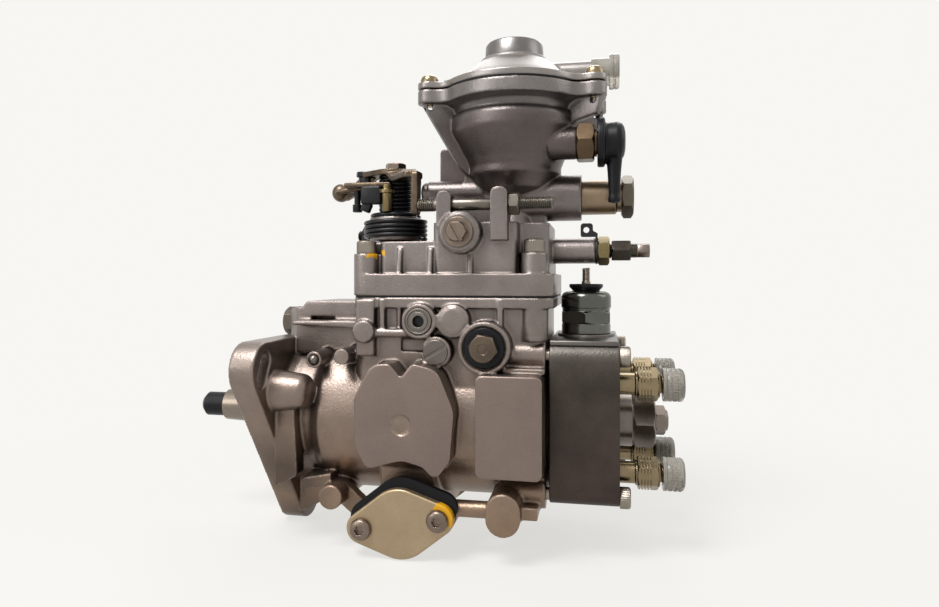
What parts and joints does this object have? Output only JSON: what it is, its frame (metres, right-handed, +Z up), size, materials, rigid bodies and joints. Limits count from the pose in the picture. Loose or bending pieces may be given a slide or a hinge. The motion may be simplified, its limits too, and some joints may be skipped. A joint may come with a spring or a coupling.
{
  "type": "diesel injection pump",
  "caption": "Rotary diesel injection pump with slotted flange, governor tower, control lever, boost chamber, solenoid and capped outlets on the head.",
  "frame": {"origin": "centre of the centring spigot in the plane of the flange face", "axes": "+X along the drive shaft towards the distributor head, +Z up towards the boost chamber, -Y is the side with the timing cover seen in the picture"},
  "size_m": [0.2617, 0.129, 0.2556],
  "materials": {
    "cast_aluminium": "as cast, fine grit",
    "seal_rubber": "matt",
    "dark_steel": "phosphated",
    "head_steel": "dark, machined faces",
    "yellow_zinc": "yellow passivated zinc",
    "clear_plastic": "translucent moulding",
    "ground_steel": "ground",
    "spring_steel": "black",
    "solenoid_steel": "grey green zinc",
    "black_plastic": "moulded",
    "black_rubber": "matt",
    "bronze": "sintered",
    "aluminium_machined": "machined casting",
    "grey_zinc": "zinc plated",
    "bronze_zinc": "dull yellow zinc",
    "brass_fitting": "turned",
    "black_plate": "black"
  },
  "bodies": {
    "housing": {"pump_housing": "cast_aluminium", "governor_cover": "cast_aluminium", "flat_seals": "seal_rubber", "socket_screws": "dark_steel", "distributor_head": "head_steel", "delivery_valve_holders": "yellow_zinc", "protective_caps": "clear_plastic", "centre_plug": "yellow_zinc", "valve_springs": "spring_steel", "shutoff_solenoid": "solenoid_steel", "solenoid_terminal": "black_plastic", "shaft_seal": "black_rubber", "shaft_bush": "bronze", "feed_pump_liner": "ground_steel", "governor_shaft": "ground_steel", "lever_pivot_bolts": "dark_steel", "plunger_springs": "spring_steel", "timing_spring": "spring_steel", "timing_covers": "grey_zinc", "timing_cover_screws": "grey_zinc", "blanking_plugs": "yellow_zinc", "return_spring": "spring_steel", "adjusting_screws": "yellow_zinc", "lock_nuts": "yellow_zinc", "guide_bush": "brass_fitting", "boost_cover": "aluminium_machined", "boost_cover_screws": "grey_zinc", "boost_cap": "aluminium_machined", "boost_diaphragm": "seal_rubber", "boost_spring": "spring_steel", "vent_fitting": "aluminium_machined", "vent_elbow": "black_rubber", "seal_bracket": "black_plate"},
    "drive_train": {"drive_shaft": "ground_steel", "shaft_end_cap": "black_rubber", "feed_pump_rotor": "ground_steel", "drive_gear": "dark_steel", "cam_plate": "ground_steel", "plunger": "ground_steel"},
    "governor": {"flyweight_cage": "dark_steel"},
    "weight_1": {"flyweight_1": "dark_steel"},
    "weight_2": {"flyweight_2": "dark_steel"},
    "weight_3": {"flyweight_3": "dark_steel"},
    "weight_4": {"flyweight_4": "dark_steel"},
    "sleeve": {"governor_sleeve": "ground_steel"},
    "lever": {"governor_lever": "dark_steel", "governor_spring": "spring_steel"},
    "collar": {"control_collar": "ground_steel"},
    "timing_ring": {"roller_ring": "ground_steel", "rollers": "ground_steel"},
    "piston": {"timing_piston": "aluminium_machined"},
    "control": {"control_shaft": "dark_steel", "control_lever": "bronze_zinc"},
    "armature": {"solenoid_armature": "ground_steel"},
    "valve_1": {"delivery_valve_1": "ground_steel"},
    "valve_2": {"delivery_valve_2": "ground_steel"},
    "valve_3": {"delivery_valve_3": "ground_steel"},
    "valve_4": {"delivery_valve_4": "ground_steel"},
    "boost": {"boost_pin": "ground_steel"},
    "sensing": {"sensing_pin": "ground_steel"}
  },
  "joints": [
    {"name": "drive_spin", "type": "hinge", "parent": "housing", "child": "drive_train", "pos_m": [0, 0, 0], "axis": [1, 0, 0], "continuous": true},
    {"name": "governor_spin", "type": "hinge", "parent": "housing", "child": "governor", "pos_m": [0.06, 0, 0.051], "axis": [1, 0, 0], "continuous": true},
    {"name": "sleeve_slide", "type": "slide", "parent": "housing", "child": "sleeve", "axis": [1, 0, 0], "range_m": [0, 0.0014], "stiffness_N_per_m": 2000, "springref_m": -0.002},
    {"name": "weight_1_tilt", "type": "hinge", "parent": "governor", "child": "weight_1", "pos_m": [0.068, 0, 0.0645], "axis": [0, -1, 0], "range_deg": [0, 12.5]},
    {"name": "weight_2_tilt", "type": "hinge", "parent": "governor", "child": "weight_2", "pos_m": [0.068, -0.0135, 0.051], "axis": [0, 0, -1], "range_deg": [0, 12.5]},
    {"name": "weight_3_tilt", "type": "hinge", "parent": "governor", "child": "weight_3", "pos_m": [0.068, 0, 0.0375], "axis": [0, 1, 0], "range_deg": [0, 12.5]},
    {"name": "weight_4_tilt", "type": "hinge", "parent": "governor", "child": "weight_4", "pos_m": [0.068, 0.0135, 0.051], "axis": [0, 0, 1], "range_deg": [0, 12.5]},
    {"name": "lever_tilt", "type": "hinge", "parent": "housing", "child": "lever", "pos_m": [0.118, 0, 0.039], "axis": [0, 1, 0], "range_deg": [0, 7]},
    {"name": "collar_slide", "type": "slide", "parent": "housing", "child": "collar", "axis": [-1, 0, 0], "range_m": [0, 0.0036]},
    {"name": "timing_slide", "type": "slide", "parent": "housing", "child": "piston", "axis": [0, 1, 0], "range_m": [0, 0.005], "stiffness_N_per_m": 5000, "springref_m": -0.003, "deforming": ["timing_spring"]},
    {"name": "ring_turn", "type": "hinge", "parent": "housing", "child": "timing_ring", "pos_m": [0.078, 0, 0], "axis": [1, 0, 0], "range_deg": [0, 6.6]},
    {"name": "control_lever_turn", "type": "hinge", "parent": "housing", "child": "control", "pos_m": [0.062, 0, 0.1], "axis": [0, 0, 1], "range_deg": [-45, 0], "stiffness_Nm_per_rad": 0.6, "springref_deg": 20.05, "deforming": ["return_spring"]},
    {"name": "armature_lift", "type": "slide", "parent": "housing", "child": "armature", "axis": [0, 0, 1], "range_m": [0, 0.002], "stiffness_N_per_m": 500, "springref_m": -0.003, "deforming": ["valve_springs"]},
    {"name": "valve_1_lift", "type": "slide", "parent": "housing", "child": "valve_1", "axis": [1, 0, 0], "range_m": [0, 0.0015], "stiffness_N_per_m": 1000, "springref_m": -0.002, "deforming": ["valve_springs"]},
    {"name": "valve_2_lift", "type": "slide", "parent": "housing", "child": "valve_2", "axis": [1, 0, 0], "range_m": [0, 0.0015], "stiffness_N_per_m": 1000, "springref_m": -0.002, "deforming": ["valve_springs"]},
    {"name": "valve_3_lift", "type": "slide", "parent": "housing", "child": "valve_3", "axis": [1, 0, 0], "range_m": [0, 0.0015], "stiffness_N_per_m": 1000, "springref_m": -0.002, "deforming": ["valve_springs"]},
    {"name": "valve_4_lift", "type": "slide", "parent": "housing", "child": "valve_4", "axis": [1, 0, 0], "range_m": [0, 0.0015], "stiffness_N_per_m": 1000, "springref_m": -0.002, "deforming": ["valve_springs"]},
    {"name": "boost_slide", "type": "slide", "parent": "housing", "child": "boost", "axis": [0, 0, -1], "range_m": [0, 0.005], "stiffness_N_per_m": 800, "springref_m": -0.01, "deforming": ["boost_spring", "boost_diaphragm"]},
    {"name": "sensing_slide", "type": "slide", "parent": "housing", "child": "sensing", "axis": [-1, 0, 0], "range_m": [0, 0.0016]}
  ],
  "couplings": [
    {"joint": "governor_spin", "follows": "drive_spin", "ratio": -1.125},
    {"joint": "weight_1_tilt", "follows": "sleeve_slide", "rad_per_m": 153.85},
    {"joint": "weight_2_tilt", "follows": "sleeve_slide", "rad_per_m": 153.85},
    {"joint": "weight_3_tilt", "follows": "sleeve_slide", "rad_per_m": 153.85},
    {"joint": "weight_4_tilt", "follows": "sleeve_slide", "rad_per_m": 153.85},
    {"joint": "lever_tilt", "follows": "sleeve_slide", "rad_per_m": 83.333},
    {"joint": "collar_slide", "follows": "sleeve_slide", "ratio": 2.5},
    {"joint": "ring_turn", "follows": "timing_slide", "rad_per_m": 22.727},
    {"joint": "sensing_slide", "follows": "boost_slide", "ratio": 0.3}
  ]
}
